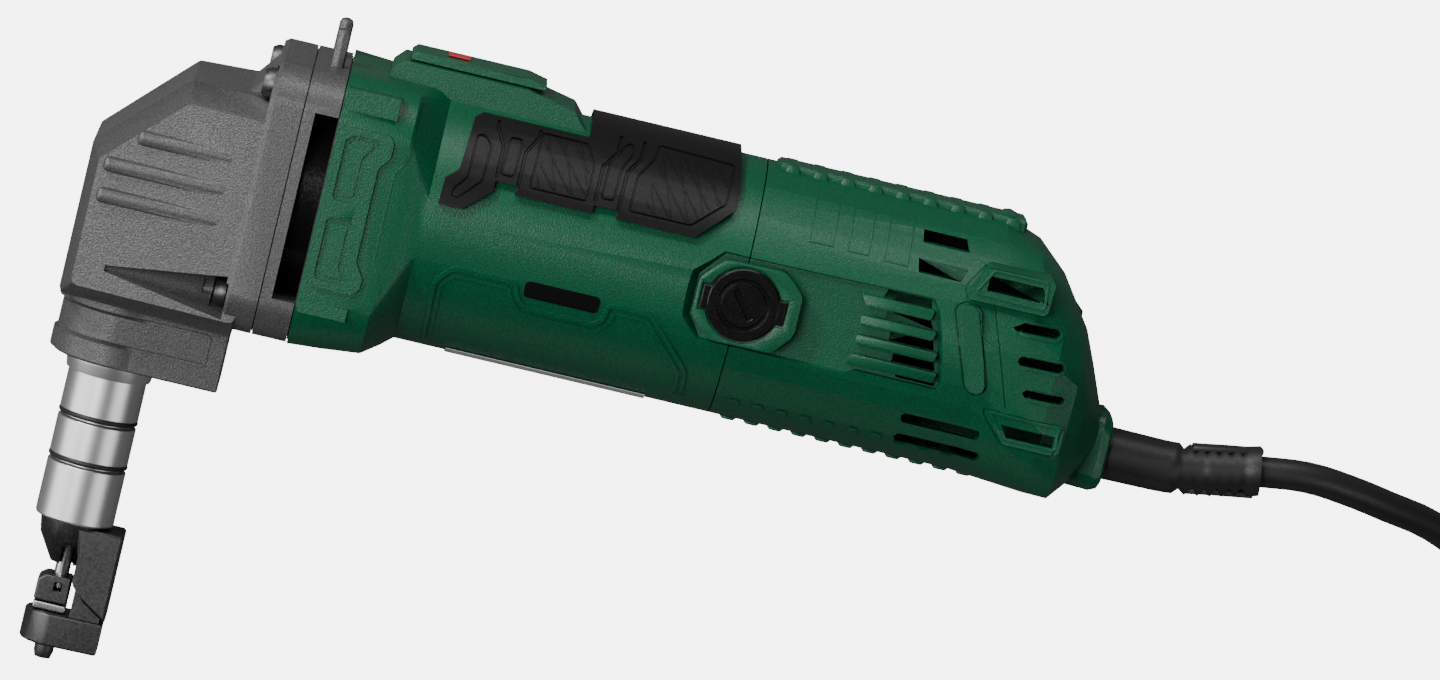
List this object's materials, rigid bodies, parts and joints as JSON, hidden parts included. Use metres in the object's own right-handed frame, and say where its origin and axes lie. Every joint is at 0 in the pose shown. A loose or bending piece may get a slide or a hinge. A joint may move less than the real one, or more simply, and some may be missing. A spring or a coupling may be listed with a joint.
{
  "type": "sheet metal nibbler",
  "caption": "Corded right-angle sheet-metal nibbler with a green motor body, a grey gear head and a turning silver nose that carries punch and die.",
  "frame": {"origin": "middle of the tool's outline without its mains lead, on the surface that the tool lies on", "axes": "+X along the motor body towards the cord, +Y towards the slide switch and away from the die, +Z out of the tool's left side; the tool lies on its right side"},
  "size_m": [0.5345, 0.2141, 0.0698],
  "materials": {
    "green_plastic": "fine speckled moulded nylon, semi matt",
    "cast_grey": "die casting with a fine speckled coat",
    "barrel_steel": "turned and ground, light brushing round the axis",
    "black_steel": "blackened steel, satin",
    "bright_steel": "ground steel",
    "grip_rubber": "soft moulded rubber",
    "black_plastic": "smooth black plastic",
    "signal_red": "printed mark",
    "copper": "enamelled copper",
    "bush_brass": "plain brass",
    "carbon": "pressed carbon",
    "lamination": "stacked sheet steel",
    "label_film": "plain blank film",
    "cable_rubber": "rubber cable sheath"
  },
  "bodies": {
    "tool": {"gear_head": "cast_grey", "bearing_flange": "cast_grey", "head_screw_upper_left": "black_steel", "head_screw_upper_right": "black_steel", "head_screw_lower_left": "black_steel", "head_screw_lower_right": "black_steel", "nose_clamp_bolt": "black_steel", "crank_bush": "bush_brass", "crank_end_bush": "bush_brass", "front_bearing": "bright_steel", "rear_bearing": "bright_steel", "stator_core": "lamination", "upper_field_coil": "copper", "lower_field_coil": "copper", "brush_tube_left": "bush_brass", "brush_tube_right": "bush_brass", "carbon_brush_left": "carbon", "carbon_brush_right": "carbon", "brush_cap_left": "black_plastic", "brush_cap_right": "black_plastic", "motor_housing": "green_plastic", "rubber_grip": "grip_rubber", "switch_module": "black_plastic", "rear_cover_left": "green_plastic", "rear_cover_right": "green_plastic", "rating_label": "label_film", "strain_relief": "cable_rubber", "cord": "cable_rubber", "cord_coil": "cable_rubber", "cord_tail": "cable_rubber", "plug": "black_plastic", "plug_pin_left": "bright_steel", "plug_pin_right": "bright_steel"},
    "armature": {"armature_shaft": "bright_steel", "armature_core": "lamination", "front_winding": "copper", "rear_winding": "copper", "commutator": "copper", "fan": "black_plastic"},
    "crank": {"crankshaft": "bright_steel", "crank_gear": "bright_steel"},
    "ram": {"ram": "bright_steel"},
    "nose": {"barrel": "barrel_steel", "nose_ring": "barrel_steel", "die_holder": "black_steel", "die": "black_steel", "die_plate": "bright_steel", "die_screw": "black_steel"},
    "punch": {"punch": "bright_steel"},
    "switch": {"slide_switch": "green_plastic", "switch_mark": "signal_red", "switch_rod": "black_plastic"}
  },
  "joints": [
    {"name": "armature_spin", "type": "hinge", "parent": "tool", "child": "armature", "pos_m": [-0.0222, 0.04545, 0.0349], "axis": [1, 0, 0], "continuous": true},
    {"name": "crank_spin", "type": "hinge", "parent": "tool", "child": "crank", "pos_m": [-0.0972, 0.02645, 0.0349], "axis": [1, 0, 0], "continuous": true},
    {"name": "ram_stroke", "type": "slide", "parent": "tool", "child": "ram", "axis": [0, 1, 0], "range_m": [-0.003, 0.003]},
    {"name": "nose_turn", "type": "hinge", "parent": "tool", "child": "nose", "pos_m": [-0.1154, -0.02475, 0.0349], "axis": [0, 1, 0], "continuous": true},
    {"name": "punch_stroke", "type": "slide", "parent": "nose", "child": "punch", "axis": [0, 1, 0], "range_m": [-0.003, 0.003]},
    {"name": "switch_slide", "type": "slide", "parent": "tool", "child": "switch", "axis": [-1, 0, 0], "range_m": [0, 0.006]}
  ],
  "couplings": [
    {"joint": "crank_spin", "follows": "armature_spin", "ratio": -0.26667},
    {"joint": "punch_stroke", "follows": "ram_stroke", "ratio": 1}
  ]
}
